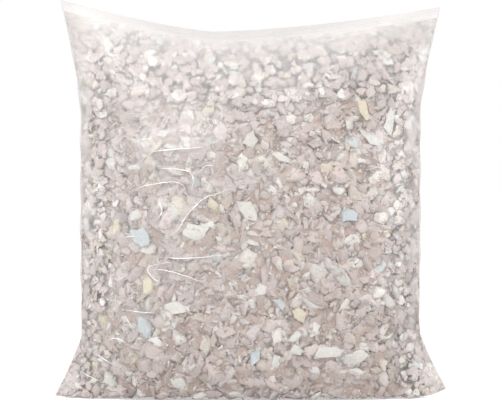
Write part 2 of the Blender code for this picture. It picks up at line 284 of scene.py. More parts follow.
# Flakes in the narrow spaces: along the side edges, in the corners at the foot, and in the crown
RIM_FLAKES = 1250
RIM_DEPTH = 0.026
RIM_FOOT = 0.002
RIM_GAP = 0.003  # empty film beside the flakes, widest at the top
RIM_SIZES = (0.0065, 0.0145)
RIM_SLIMNESS = (0.45, 1.0)
RIM_THICKNESS = 0.17  # share of the size
RIM_GAPS = (0.0008, 0.0028)
RIM_TILT = 16
CORNER_FLAKES = 240
CORNER_HEIGHT = 0.060
CORNER_DEPTH = 0.045
CROWN_LEVEL = 0.967
CROWN_FLAKES = 1250
CROWN_DEPTH = 0.17  # share of the height
CROWN_REACH = 0.97  # share of the width
CROWN_SWELL = 1.25  # flakes in the crown are larger
SLOPE_REACH = 0.004
STEEPEST_FLAKE = 1.1

# Colours of the flakes in sRGB, each with its share of the flakes
TINTS = (
    ((219, 209, 206), 0.37),
    ((211, 200, 196), 0.18),
    ((202, 190, 184), 0.07),
    ((217, 208, 199), 0.09),
    ((227, 219, 216), 0.12),
    ((241, 240, 235), 0.145),
    ((232, 227, 215), 0.020),
    ((217, 226, 227), 0.010),
    ((230, 225, 206), 0.010),
)
LIGHT_SPREAD = 0.075
WARMTH_SPREAD = 0.012
TINT_LIMITS = (0.02, 0.95)
COLOURED_SWELL = 1.30  # makes up for what the corners cut off
COLOURED_SPREAD = 0.04
COLOURED = {
    "white": (234, 235, 230),
    "cream": (234, 230, 219),
    "yellow": (233, 227, 204),
    "blue": (212, 224, 227),
}


def linear(colour):
    """An sRGB colour of 0 to 255 as linear values of 0 to 1."""
    shares = np.asarray(colour, float) / 255
    return np.where(shares <= 0.04045, shares / 12.92, ((shares + 0.055) / 1.055) ** 2.4)


def ramp(value, start, end):
    """0 before the start, 1 after the end, and even between."""
    return np.clip((value - start) / (end - start), 0, 1)


def half_span(height):
    """Half the width of the bag at a share of its height."""
    foot = np.clip(1 - height * DIP_HEIGHT / FOOT_FLARE, 0, 1) ** FOOT_FLARE_CURVE
    top = np.clip(1 - (1 - height) * LEFT_PEAK / TOP_FLARE, 0, 1) ** TOP_FLARE_CURVE
    widen_foot = (FOOT_SPAN - WAIST_SPAN) / 2 * foot
    widen_top = (TOP_SPAN - WAIST_SPAN) / 2 * top
    return WAIST_SPAN / 2 + widen_foot + widen_top


def half_depth(height):
    """Half the depth of the bag in its middle at a share of its height."""
    swell = 1 - np.exp(-height * DIP_HEIGHT / FOOT_ROUND)
    depth = FOOT_DEPTH + (BAG_DEPTH - FOOT_DEPTH) * swell
    return depth / 2 * np.clip(1 - height**TOP_CLOSING, 0, 1) ** TOP_ROUNDING


def section(across, height):
    """The depth at a place across the bag, as a share of that in its middle."""
    pressed = np.maximum(1 - height / FOOT_PRESSED, 1 - (1 - height) / TOP_PRESSED)
    curve = SIDE_CURVE + (CORNER_CURVE - SIDE_CURVE) * np.clip(pressed, 0, 1)
    return np.clip(1 - np.abs(across) ** SECTION_POWER, 0, 1) ** curve


def top_edge(across):
    """Height of the top weld, which sags between its two peaks."""
    left = np.clip((DIP_PLACE - across) / (1 + DIP_PLACE), 0, 1) ** LEFT_SWEEP
    right = np.clip((across - DIP_PLACE) / (1 - DIP_PLACE), 0, 1) ** RIGHT_SWEEP
    return DIP_HEIGHT + (LEFT_PEAK - DIP_HEIGHT) * left + (RIGHT_PEAK - DIP_HEIGHT) * right


def bottom_edge(across):
    """Height of the bottom edge, which lifts off the floor towards its corners."""
    tip = np.clip(1 - (1 - np.abs(across)) / LIFTED_SHARE, 0, 1)
    return np.where(across > 0, RIGHT_LIFT, LEFT_LIFT) * tip**2


def noise_at(x, y, z):
    """Smooth noise at many points, from -1 to 1."""
    points = np.stack(np.broadcast_arrays(x, y, z), axis=-1).reshape(-1, 3)
    values = np.fromiter((noise.noise(Vector(point)) for point in points), float, len(points))
    return values.reshape(np.broadcast_shapes(np.shape(x), np.shape(y), np.shape(z)))


def lump(x, z, face, depth):
    """Uneven swelling of the filling, which fades where the bag is thin."""
    swell = noise_at(x / LUMP_SIZE, 100.0 * face, z / LUMP_SIZE)
    return LUMP_HEIGHT * swell * np.clip(depth / LUMP_FADE, 0, 1)


def gathers(across, height, face):
    """Small gathers along the side edges, and folds under the top weld."""
    free = np.clip(TOP_FADE * (1 - height), 0, 1) * np.clip(FOOT_FADE * height, 0, 1)
    edge = np.abs(across) ** PUCKER_NARROWING
    pucker = edge * np.sin(math.pi * PUCKERS * height + across) ** 2
    hang = np.exp(-(((height - PLEAT_PLACE) / PLEAT_SPREAD) ** 2)) * (1 - across**2)
    pleat = hang * np.sin(math.pi * PLEATS * across + PLEAT_SLANT * height + face) ** 2
    return free * PUCKER_HEIGHT * pucker, free * PLEAT_HEIGHT * pleat


def round_tube(turn):
    """Place across the bag, and face, for a share of the way round: right edge, back, left edge, front."""
    turn = np.mod(turn, 1.0)
    even = 1 - 4 * np.minimum(turn, 1 - turn)
    across = (np.cos(2 * math.pi * turn) + even) / 2
    return across, np.where(turn < 0.5, BACK, FRONT)


def distance_to_line(x, z, line):
    """Distance of many points from a line of straight runs, and the share of the way along it."""
    nearest = np.full(np.shape(x), 1.0)
    along = np.zeros(np.shape(x))
    runs = len(line) - 1
    for run in range(runs):
        ax, az = line[run]
        bx, bz = line[run + 1]
        length = (bx - ax) ** 2 + (bz - az) ** 2
        share = np.clip(((x - ax) * (bx - ax) + (z - az) * (bz - az)) / length, 0, 1)
        away = np.hypot(x - ax - share * (bx - ax), z - az - share * (bz - az))
        closer = away < nearest
        nearest = np.where(closer, away, nearest)
        along = np.where(closer, (run + share) / runs, along)
    return nearest, along


def curved(line, steps=8):
    """A smooth curve through the points of a line, given in millimetres, as points in metres."""
    points = np.asarray(line, float) / 1000
    padded = np.vstack([2 * points[0] - points[1], points, 2 * points[-1] - points[-2]])
    made = []
    for run in range(len(points) - 1):
        a, b, c, d = padded[run : run + 4]
        for step in range(steps):
            t = step / steps
            made.append(
                0.5 * (2 * b + (c - a) * t + (2 * a - 5 * b + 4 * c - d) * t**2
                       + (3 * b - a - 3 * c + d) * t**3)
            )
    made.append(points[-1])
    return np.array(made)


CREASE_LINES = [curved(line) for line in CREASES]


def creasing(x, z):
    """How strongly the front film is creased at each point, and the painted glare beside its creases, from 0
    to 1.
    """
    strength = np.zeros(np.shape(x))
    painted_glare = np.zeros(np.shape(x))
    for line in CREASE_LINES:
        low, high = line.min(0) - 2 * GLARE_BESIDE_CREASES_WIDTH, line.max(0) + 2 * GLARE_BESIDE_CREASES_WIDTH
        near = (x > low[0]) & (x < high[0]) & (z > low[1]) & (z < high[1])
        away, along = distance_to_line(x[near], z[near], line)
        taper = np.sin(math.pi * np.clip(along, *CREASE_ENDS)) ** 0.5
        ridge = np.exp(-((away / CREASE_WIDTH) ** 2)) * taper
        strength[near] = np.maximum(strength[near], ridge)
        # painted glare: a wide milky veil beside each crease, standing in for the lamps' reflection
        painted_glare[near] = np.maximum(painted_glare[near], np.exp(-((away / GLARE_BESIDE_CREASES_WIDTH) ** 2)))
    return strength, painted_glare


def skin(across, face, height, under=1.0, fine=True):
    """Points on the film, and the painted glare beside its creases there.

    under is below 1 on the underside only: the share of the way from its middle line to its edge."""
    span = half_span(height)
    sideways, forwards = gathers(across, height, face)
    x = across * span + np.copysign(sideways, across)
    z = bottom_edge(across) + (top_edge(across) - bottom_edge(across)) * height
    depth = half_depth(height) * section(across, height)
    depth = depth + lump(x, z, face, depth) + forwards
    painted_glare = np.zeros(np.shape(x))
    if fine:
        soft = np.clip(depth / LUMP_FADE, 0, 1)
        press = noise_at(x / PRESS_SIZE, 50.0 * face, z / PRESS_SIZE)
        crease, painted_glare = np.where(face == FRONT, creasing(x, z), 0.0) * soft
        depth = depth + soft * (PRESS_HEIGHT * press + CREASE_HEIGHT * crease)
    depth = np.maximum(depth, WELD_GAP) * (np.abs(across) < 1 - 1e-9)
    return np.stack([x, face * depth * under, z], axis=-1), painted_glare


class DepthMap:
    """How deep the film is, front to middle, at any place seen from the front or the back."""

    def __init__(self, face, columns=260, rows=260):
        """Lays a grid of points over one side of the film."""
        self.columns, self.rows = columns, rows
        across = np.linspace(-1, 1, columns + 1)[None, :]
        height = np.linspace(0, 1, rows + 1)[:, None]
        across, height = np.broadcast_arrays(across, height)
        self.points, _ = skin(across, np.full(across.shape, face), height)

    def depth(self, x, z):
        """Depth at many places, between the points of the grid."""
        height = np.clip(z / DIP_HEIGHT, 0, 1)
        for _ in range(4):
            across = np.clip(x / half_span(height), -1, 1)
            low, high = bottom_edge(across), top_edge(across)
            height = np.clip((z - low) / (high - low), 0, 1)
        column = np.clip((across + 1) / 2 * self.columns, 0, self.columns - 1e-6)
        row = np.clip(height * self.rows, 0, self.rows - 1e-6)
        c, r = column.astype(int), row.astype(int)
        u, v = column - c, row - r
        depth = np.abs(self.points[..., 1])
        lower = depth[r, c] * (1 - u) + depth[r, c + 1] * u
        upper = depth[r + 1, c] * (1 - u) + depth[r + 1, c + 1] * u
        return lower * (1 - v) + upper * v


def fill_surface(turn, share):
    """Points on the smooth form of the filling, for places round the tube and shares of its height."""
    across, face = round_tube(turn)
    height = FILL_LEVEL * share
    span = np.minimum(half_span(height) - SIDE_SPACE, FILL_SPAN / 2)
    reach = across * span / half_span(height)
    x = across * span
    z = bottom_edge(reach) + (top_edge(reach) - bottom_edge(reach)) * height
    depth = half_depth(height) * section(reach, height)
    depth = depth + lump(x, z, face, depth) - FILL_CLEARANCE
    top_round = np.clip(1 - share**FILL_ROUNDING, 0, 1)
    side_round = np.clip(1 - np.abs(across) ** FILL_ROUNDING, 0, 1)
    y = face * np.maximum(depth, WELD_GAP) * np.sqrt(top_round * side_round)
    return np.stack([x, y, np.maximum(z, FILL_CLEARANCE)], axis=-1)


def fill_normals(turn, share, step=0.002):
    """Directions out of the filling."""
    round_step = fill_surface(turn + step, share) - fill_surface(turn - step, share)
    high = np.clip(share + step, 0, 1)
    low = np.clip(share - step, 0, 1)
    up_step = fill_surface(turn, high) - fill_surface(turn, low)
    normal = np.cross(round_step, up_step)
    return normal / np.maximum(np.linalg.norm(normal, axis=-1, keepdims=True), 1e-12)


def mesh_piece(name, points, triangles, material, smooth=False, attributes=None):
    """A piece from arrays of points and triangles, with values per point for its material."""
    mesh = bpy.data.meshes.new(name)
    mesh.vertices.add(len(points))
    mesh.vertices.foreach_set("co", np.ascontiguousarray(points, np.float32).ravel())
    mesh.loops.add(triangles.size)
    mesh.loops.foreach_set("vertex_index", np.ascontiguousarray(triangles, np.int32).ravel())
    mesh.polygons.add(len(triangles))
    mesh.polygons.foreach_set("loop_start", np.arange(0, triangles.size, 3, dtype=np.int32))
    mesh.update(calc_edges=True)
    mesh.validate()
    for label, values in (attributes or {}).items():
        if values.ndim == 1:
            made = mesh.attributes.new(label, "FLOAT", "POINT")
            made.data.foreach_set("value", values.astype(np.float32))
        else:
            made = mesh.color_attributes.new(label, "FLOAT_COLOR", "POINT")
            full = np.hstack([values, np.ones((len(values), 1))])
            made.data.foreach_set("color", full.astype(np.float32).ravel())
    if smooth:
        mesh.shade_smooth()
    mesh.materials.append(material)
    piece = bpy.data.objects.new(name, mesh)
    bpy.context.scene.collection.objects.link(piece)
    return piece


def grid_triangles(rows, columns, wrap):
    """Triangles of a grid of points, rows by columns, joined into a tube where wrap is set."""
    across = np.arange(columns if wrap else columns - 1)
    up = np.arange(rows - 1)
    c, r = np.meshgrid(across, up)
    c, r = c.ravel(), r.ravel()
    n = (c + 1) % columns
    a, b = r * columns + c, r * columns + n
    d, e = (r + 1) * columns + c, (r + 1) * columns + n
    odd = (c + r) % 2 == 0
    first = np.where(odd[:, None], np.stack([a, b, e], 1), np.stack([a, b, d], 1))
    second = np.where(odd[:, None], np.stack([a, e, d], 1), np.stack([b, e, d], 1))
    return np.vstack([first, second])


def made_whole(piece, close_ends=False):
    """The piece with doubled points welded, its faces turned outwards and, if asked, its ends closed."""
    shape = bmesh.new()
    shape.from_mesh(piece.data)
    bmesh.ops.remove_doubles(shape, verts=shape.verts, dist=WELD_REACH)
    if close_ends:
        rim = [edge for edge in shape.edges if edge.is_boundary]
        bmesh.ops.holes_fill(shape, edges=rim, sides=len(rim))
    bmesh.ops.recalc_face_normals(shape, faces=shape.faces)
    shape.to_mesh(piece.data)
    shape.free()
    return piece


def new_material(name):
    """A material with an empty node tree."""
    material = bpy.data.materials.new(name)
    material.use_nodes = True
    tree = material.node_tree
    for old in list(tree.nodes):
        tree.nodes.remove(old)
    return material, tree


def add_node(tree, kind, **values):
    """A shader node with values on its sockets, by name, or on itself where it has no such socket."""
    made = tree.nodes.new(kind)
    for name, value in values.items():
        socket = made.inputs.get(name.replace("_", " "))
        if socket is not None:
            socket.default_value = value
        else:
            setattr(made, name, value)
    return made


def foam_material():
    """Matt torn foam: each flake has its own tint, and is mottled and pitted all over."""
    material, tree = new_material("foam")
    link = tree.links.new
    tint = add_node(tree, "ShaderNodeVertexColor", layer_name="tint")
    place = add_node(tree, "ShaderNodeTexCoord")
    torn = add_node(tree, "ShaderNodeTexNoise", Scale=330.0, Detail=4.0, Roughness=0.65)
    cells = add_node(tree, "ShaderNodeTexVoronoi", Scale=850.0)
    shade = add_node(tree, "ShaderNodeMapRange", From_Min=0.3, From_Max=0.7, To_Min=0.88, To_Max=1.10)
    mix = add_node(tree, "ShaderNodeVectorMath", operation="SCALE")
    height = add_node(tree, "ShaderNodeMath", operation="MULTIPLY_ADD")
    height.inputs[1].default_value = CELL_RELIEF
    bump = add_node(tree, "ShaderNodeBump", Strength=0.8, Distance=0.0012)
    shader = add_node(tree, "ShaderNodeBsdfPrincipled", Roughness=0.95, Specular_IOR_Level=0.15)
    out = tree.nodes.new("ShaderNodeOutputMaterial")
    link(place.outputs["Object"], torn.inputs["Vector"])
    link(place.outputs["Object"], cells.inputs["Vector"])
    link(torn.outputs["Fac"], shade.inputs["Value"])
    link(tint.outputs["Color"], mix.inputs[0])
    link(shade.outputs["Result"], mix.inputs["Scale"])
    link(mix.outputs["Vector"], shader.inputs["Base Color"])
    link(cells.outputs["Distance"], height.inputs[0])
    link(torn.outputs["Fac"], height.inputs[2])
    link(height.outputs["Value"], bump.inputs["Height"])
    link(bump.outputs["Normal"], shader.inputs["Normal"])
    link(shader.outputs["BSDF"], out.inputs["Surface"])
    return material


def film_material():
    """Clear film: see-through, glossy, and milky where its haze says so; that milk is partly real haze and
    partly painted glare.
    """
    material, tree = new_material("clear_film")
    link = tree.links.new
    haze_and_glare = add_node(tree, "ShaderNodeAttribute", attribute_name="haze_and_glare")
    place = add_node(tree, "ShaderNodeTexCoord")
    ripples = add_node(tree, "ShaderNodeTexNoise", Scale=190.0, Detail=2.5)
    bump = add_node(tree, "ShaderNodeBump", Strength=0.45, Distance=0.0008)
    clear = add_node(tree, "ShaderNodeBsdfTransparent", Color=FILM_TINT)
    lit = add_node(tree, "ShaderNodeBsdfDiffuse", Color=MILK_AND_GLARE)
    glowing = add_node(tree, "ShaderNodeBsdfTranslucent", Color=MILK_AND_GLARE)
    # the milk shows real haze, and painted glare where the haze is raised beside the creases and over the
    # upper left
    milk_and_glare = add_node(tree, "ShaderNodeMixShader", Fac=0.25)
    sheen = add_node(tree, "ShaderNodeBsdfGlossy", Color=(1, 1, 1, 1), Roughness=0.3)
    sparkle = add_node(tree, "ShaderNodeBsdfGlossy", Color=(1, 1, 1, 1), Roughness=0.05)
    gloss = add_node(tree, "ShaderNodeMixShader", Fac=0.45)
    angle = add_node(tree, "ShaderNodeLayerWeight", Blend=0.5)
    steep = add_node(tree, "ShaderNodeMath", operation="POWER")
    steep.inputs[1].default_value = GLOSS_CURVE
    glossiness = add_node(tree, "ShaderNodeMapRange", To_Min=LEAST_GLOSS, To_Max=MOST_GLOSS)
    body = tree.nodes.new("ShaderNodeMixShader")
    whole = tree.nodes.new("ShaderNodeMixShader")
    out = tree.nodes.new("ShaderNodeOutputMaterial")
    link(place.outputs["Object"], ripples.inputs["Vector"])
    link(ripples.outputs["Fac"], bump.inputs["Height"])
    link(bump.outputs["Normal"], sparkle.inputs["Normal"])
    link(lit.outputs["BSDF"], milk_and_glare.inputs[1])
    link(glowing.outputs["BSDF"], milk_and_glare.inputs[2])
    link(sheen.outputs["BSDF"], gloss.inputs[1])
    link(sparkle.outputs["BSDF"], gloss.inputs[2])
    link(haze_and_glare.outputs["Fac"], body.inputs["Fac"])
    link(clear.outputs["BSDF"], body.inputs[1])
    link(milk_and_glare.outputs["Shader"], body.inputs[2])
    link(angle.outputs["Facing"], steep.inputs[0])
    link(steep.outputs["Value"], glossiness.inputs["Value"])
    link(glossiness.outputs["Result"], whole.inputs["Fac"])
    link(body.outputs["Shader"], whole.inputs[1])
    link(gloss.outputs["Shader"], whole.inputs[2])
    link(whole.outputs["Shader"], out.inputs["Surface"])
    return material


def crease_material():
    """A sharp fold of the film: glossier than the sheet beside it, and whiter, its white partly
    stress-whitened film and partly a painted highlight.
    """
    material, tree = new_material("film_fold_and_highlight")
    link = tree.links.new
    haze_and_glare = add_node(tree, "ShaderNodeAttribute", attribute_name="haze_and_glare")
    clear = add_node(tree, "ShaderNodeBsdfTransparent", Color=FILM_TINT)
    # the white of the fold is partly stress-whitened film and partly a painted highlight
    white = add_node(tree, "ShaderNodeBsdfDiffuse", Color=FOLD_WHITE_AND_HIGHLIGHT)
    shine = add_node(tree, "ShaderNodeBsdfGlossy", Color=(1, 1, 1, 1), Roughness=0.22)
    fold = add_node(tree, "ShaderNodeMixShader", Fac=0.5)
    whole = tree.nodes.new("ShaderNodeMixShader")
    out = tree.nodes.new("ShaderNodeOutputMaterial")
    link(white.outputs["BSDF"], fold.inputs[1])
    link(shine.outputs["BSDF"], fold.inputs[2])
    link(haze_and_glare.outputs["Fac"], whole.inputs["Fac"])
    link(clear.outputs["BSDF"], whole.inputs[1])
    link(fold.outputs["Shader"], whole.inputs[2])
    link(whole.outputs["Shader"], out.inputs["Surface"])
    return material


def film_haze_and_glare(points, height, painted_glare):
    """Milkiness of the film: high where it lies loose, at the top and along the side edges, with painted
    glare beside the creases and over the upper left.
    """
    x, y, z = points[..., 0], points[..., 1], points[..., 2]
    across = x / half_span(height)
    crown = CROWN_MILK * ramp(height, *CROWN_RANGE) ** CROWN_CURVE + BAND_MILK * ramp(height, *BAND_RANGE)
    cloud = CLOUD_MEAN + CLOUD_SPREAD * noise_at(x / CLOUD_WIDTH, y / CLOUD_WIDTH, z / CLOUD_HEIGHT)
    side = SIDE_MILK * ramp(np.abs(across), *SIDE_RANGE) * np.clip(cloud, *CLOUD_LIMITS)
    side = side * np.clip(SIDE_RISE * height, SIDE_LEAST, 1)
    # painted glare: milk over the upper left of the bag, standing in for the reflection of the lamps
    painted_upper_glare = UPPER_LEFT_GLARE * ramp(across, *UPPER_LEFT_GLARE_ACROSS) * ramp(height, *UPPER_LEFT_GLARE_RANGE)
    loose = np.maximum(np.maximum(crown, side), painted_upper_glare)
    patch = PATCH_MILK * (0.5 + 0.5 * noise_at(x / PATCH_SIZE, 3.0, z / PATCH_SIZE))
    clearing = 1 - FIN_CLEARING * ramp(height, *FIN_RANGE)
    # the veil beside the creases is painted glare, added to the real milkiness
    return np.clip((CLEAR_MILK + loose + patch) * clearing + GLARE_BESIDE_CREASES * painted_glare, 0, 1)


def make_creases(material):
    """Sharp folds that stand on the front of the film, along its creases, with milky crests that are partly
    painted highlight lines.
    """
    offsets, profile, crest_white_and_highlight = np.array(RIBBON_PROFILE).T
    points, triangles, crest_hazes_and_highlights = [], [], []
    count = 0
    for line in CREASE_LINES:
        steps = len(line)
        sway = noise_at(line[:, 0] / RIBBON_SWAY_SIZE, 7.0, line[:, 1] / RIBBON_SWAY_SIZE)
        line = line + RIBBON_SWAY * np.stack([-0.5 * sway, sway], axis=1)
        ahead = np.gradient(line, axis=0)
        ahead /= np.linalg.norm(ahead, axis=1, keepdims=True)
        aside = np.stack([-ahead[:, 1], ahead[:, 0]], axis=1)
        taper = np.sin(math.pi * np.linspace(*RIBBON_ENDS, steps)) ** 0.7
        swell = np.abs(noise_at(line[:, 0] / RIBBON_SWELL_SIZE, 9.0, line[:, 1] / RIBBON_SWELL_SIZE))
        width = (RIBBON_WIDTH * taper * (RIBBON_THINNEST + RIBBON_SWELL * swell))[:, None]
        x = line[:, 0, None] + aside[:, 0, None] * offsets * width
        z = line[:, 1, None] + aside[:, 1, None] * offsets * width
        proud = RIBBON_REST + RIBBON_HEIGHT * taper[:, None] * profile
        y = -FRONT_MAP.depth(x, z) - proud
        points.append(np.stack([x, y, z], axis=-1).reshape(-1, 3))
        triangles.append(grid_triangles(steps, len(offsets), wrap=False) + count)
        # milky crests: partly stress-whitening, partly painted highlight lines
        crest_hazes_and_highlights.append((crest_white_and_highlight * taper[:, None] ** 0.5).ravel())
        count += steps * len(offsets)
    return mesh_piece(
        "film_creases",
        np.vstack(points),
        np.vstack(triangles),
        material,
        smooth=True,
        attributes={"haze_and_glare": np.concatenate(crest_hazes_and_highlights)},
    )


def make_film(material):
    """The film as one skin all round the bag, finest across the front."""
    back = np.arange(BACK_COLUMNS) / BACK_COLUMNS * 0.5
    front = 0.5 + np.arange(FRONT_COLUMNS) / FRONT_COLUMNS * 0.5
    turn = np.concatenate([back, front])
    across, face = round_tube(turn)
    share = np.arange(FILM_ROWS + 1) / FILM_ROWS
    crowded = (1 - np.cos(math.pi * share)) / 2
    height = share + (crowded - share) * ROW_CROWDING
    under = np.concatenate([np.arange(UNDERSIDE_ROWS) / UNDERSIDE_ROWS, np.ones(len(height))])
    height = np.concatenate([np.zeros(UNDERSIDE_ROWS), height])
    across, height_grid = np.broadcast_arrays(across[None, :], height[:, None])
    face_grid = np.broadcast_to(face[None, :], across.shape)
    points, painted_glare = skin(across, face_grid, height_grid, under[:, None])
    haze_and_glare = film_haze_and_glare(points, height_grid, painted_glare)
    triangles = grid_triangles(len(height), len(turn), wrap=True)
    film = mesh_piece(
        "clear_film",
        points.reshape(-1, 3),
        triangles,
        material,
        smooth=True,
        attributes={"haze_and_glare": haze_and_glare.ravel()},
    )
    return made_whole(film)


def flake_places(points):
    """Where on the filling given points lie: the share of the way round and the share of the height."""
    turn = np.linspace(0, 1, 361)[None, :]
    share = np.linspace(0, 1, 101)[:, None]
    turn, share = np.broadcast_arrays(turn, share)
    surface = fill_surface(turn, share).reshape(-1, 3)
    nearest = [int(np.argmin(((surface - point) ** 2).sum(axis=1))) for point in points]
    return turn.ravel()[nearest], share.ravel()[nearest]


def packed_places(chance, sizes, taken, tries=12):
    """Places round the filling for flakes of these sizes, spread so that few overlap.

    taken holds the places and sizes of flakes that are there already."""
    ring = np.linspace(0, 1, 721)
    outline = fill_surface(ring, np.full(ring.shape, 0.5))
    steps = np.linalg.norm(np.diff(outline, axis=0), axis=1)
    arc = np.concatenate([[0], np.cumsum(steps)])
    around = arc[-1]
    first = len(taken[0])
    reach = np.concatenate([taken[2], sizes])
    placed = np.zeros((first + len(sizes), 2))
    placed[:first, 0] = np.interp(taken[0], ring, arc)
    placed[:first, 1] = taken[1] * DIP_HEIGHT
    for index in range(first, len(reach)):
        spots = chance.random((tries, 2)) * (around, DIP_HEIGHT)
        if index:
            gap = np.abs(spots[:, None] - placed[None, :index])
            gap[..., 0] = np.minimum(gap[..., 0], around - gap[..., 0])
            apart = (reach[index] + reach[None, :index]) / 2
            free = (np.hypot(gap[..., 0], gap[..., 1]) / apart).min(axis=1)
            placed[index] = spots[np.argmax(free)]
        else:
            placed[index] = spots[0]
    return np.interp(placed[first:, 0], arc, ring), placed[first:, 1] / DIP_HEIGHT


def flake_outlines(chance, sizes, slim):
    """Angular outlines of many flakes, with torn edges between their corners."""
    count = len(sizes)
    weights = chance.uniform(*CORNER_SPACING, (count, CORNERS))
    angle = 2 * math.pi * np.cumsum(weights, axis=1) / weights.sum(axis=1, keepdims=True)
    radius = chance.uniform(*CORNER_REACH, (count, CORNERS))
    corners = np.stack([np.cos(angle) * radius, np.sin(angle) * radius * slim[:, None]], axis=-1)
    torn = chance.uniform(*TORN_EDGE, (count, CORNERS, 1))
    between = (corners + np.roll(corners, -1, axis=1)) / 2 * (1 + torn)
    outlines = np.stack([corners, between], axis=2).reshape(count, RIM_CORNERS, 2)
    return outlines * sizes[:, None, None] / 2


def folded(chance, points, sizes):
    """The flakes, each folded along a line across it and twisted."""
    count = len(sizes)
    across = chance.uniform(0, 2 * math.pi, (count, 1))
    from_fold = np.abs(points[..., 0] * np.cos(across) + points[..., 1] * np.sin(across))
    fold = np.clip(chance.normal(0, FOLDING, (count, 1)), -MOST_FOLDING, MOST_FOLDING)
    twist = chance.normal(0, TWISTING, (count, 1)) / sizes[:, None]
    points[..., 2] += fold * from_fold + twist * points[..., 0] * points[..., 1]
    return points


def flake_shapes(chance, sizes, slim, thick):
    """Points of many flakes about their own middles: torn angular plates, each folded its own way.

    Each flake has three rings of points, the upper edge being softened, and the middles of its two sides."""
    count = len(sizes)
    outlines = flake_outlines(chance, sizes, slim)
    shift = chance.uniform(-SIDE_SHIFT, SIDE_SHIFT, (count, 1, 2)) * sizes[:, None, None]
    slant = chance.uniform(*SIDE_SLANT, (count, 1, 1))
    wobble = WOBBLE * thick[:, None] * chance.uniform(-1, 1, (2, count, RIM_CORNERS))
    soften = np.minimum(EDGE_SOFTNESS, thick * MOST_SOFTNESS)[:, None]
    lower = outlines * (1 - slant) - shift
    upper = outlines * (1 + slant) + shift
    length = np.linalg.norm(upper, axis=-1, keepdims=True)
    bevel = np.minimum(EDGE_BEVEL * soften[..., None] / np.maximum(length, 1e-6), MOST_BEVEL)
    inner = upper * (1 - bevel)
    bottom = -thick[:, None] / 2 + wobble[0]
    top = thick[:, None] / 2 + wobble[1]
    rings = [np.dstack([lower, bottom]), np.dstack([upper, top - soften]), np.dstack([inner, top])]
    for side, ring in ((-1, rings[0]), (1, rings[2])):
        middle = ring.mean(axis=1, keepdims=True)
        middle[..., 2] += side * chance.uniform(*DOMING, (count, 1)) * thick[:, None]
        rings.append(middle)
    return folded(chance, np.concatenate(rings, axis=1), sizes)


def flake_triangles():
    """Triangles of one flake, over the points that flake_shapes makes."""
    made = []
    n = RIM_CORNERS
    for ring in range(2):
        for k in range(n):
            a, b = ring * n + k, ring * n + (k + 1) % n
            made += [(a, b, b + n), (a, b + n, a + n)]
    bottom, top = 3 * n, 3 * n + 1
    for k in range(n):
        after = (k + 1) % n
        made += [(bottom, after, k), (top, 2 * n + k, 2 * n + after)]
    return np.array(made)


def turned(chance, normals, tilt):
    """A random frame for each flake: its third axis lies near the normal, tilted at random."""
    count = len(normals)
    sway = np.radians(tilt) * chance.standard_normal((count, 3))
    normals = normals + np.tan(np.clip(sway, -MOST_TILT, MOST_TILT))
    normals /= np.linalg.norm(normals, axis=1, keepdims=True)
    side = np.cross(normals, chance.standard_normal((count, 3)))
    side /= np.linalg.norm(side, axis=1, keepdims=True)
    return np.stack([side, np.cross(normals, side), normals], axis=-1)


def depth_at(maps, face, x, z):
    """Depth of the film on the front, where face is negative, or else on the back."""
    return np.where(face < 0, maps[FRONT].depth(x, z), maps[BACK].depth(x, z))


def side_reach(x, z):
    """How far the nearer side edge of the bag is from its middle, at the height of each point."""
    low = np.where(x < 0, LEFT_LIFT, RIGHT_LIFT)
    high = np.where(x < 0, LEFT_PEAK, RIGHT_PEAK)
    return half_span(np.clip((z - low) / (high - low), 0, 1))


def kept_under_film(points, maps, clearance):
    """The points, moved towards the middle of the bag where they would touch the film."""
    x, y, z = points[..., 0], points[..., 1], points[..., 2]
    reach = side_reach(x, z) - SIDE_SPACE
    x = np.clip(x, -reach, reach)
    depth = depth_at(maps, np.sign(y), x, z)
    limit = np.maximum(depth - clearance, depth * (CLOSED_SHARE - clearance / THINNING))
    y = np.clip(y, -limit, limit)
    across = x / side_reach(x, z)
    lowest = bottom_edge(across) + clearance
    return np.stack([x, y, np.clip(z, lowest, top_edge(across) * HIGHEST_FLAKE)], axis=-1)


def pressed_outwards(points, maps, gap):
    """The flakes, moved to the front or back until each is as close to the film as its gap says."""
    x, y, z = points[..., 0], points[..., 1], points[..., 2]
    face = np.sign(y.mean(axis=1, keepdims=True))
    slack = (depth_at(maps, face, x, z) - face * y).min(axis=1)
    shift = np.clip(slack - gap, 0, MOST_SHIFT)[:, None] * face
    return np.stack([x, y + shift, z], axis=-1)


def flake_tints(chance, count):
    """A colour for each flake: one of the tints, a little lighter or darker and warmer or colder."""
    colours = linear([colour for colour, _ in TINTS])
    shares = np.array([share for _, share in TINTS])
    picked = colours[chance.choice(len(TINTS), count, p=shares / shares.sum())]
    light = 1 + LIGHT_SPREAD * chance.standard_normal((count, 1))
    warmth = WARMTH_SPREAD * chance.standard_normal((count, 1)) * np.array([[1, 0, -1]])
    return np.clip(picked * light * (1 + warmth), *TINT_LIMITS)


def flakes_piece(name, points, tints, material, one=None):
    """One piece of many flakes, or of crumbs whose triangles are given, each with its tint."""
    one = flake_triangles() if one is None else one
    count, corners = points.shape[:2]
    offsets = np.arange(count)[:, None, None] * corners
    return mesh_piece(
        name,
        points.reshape(-1, 3),
        (one[None] + offsets).reshape(-1, 3),
        material,
        attributes={"tint": np.repeat(tints, corners, axis=0)},
    )


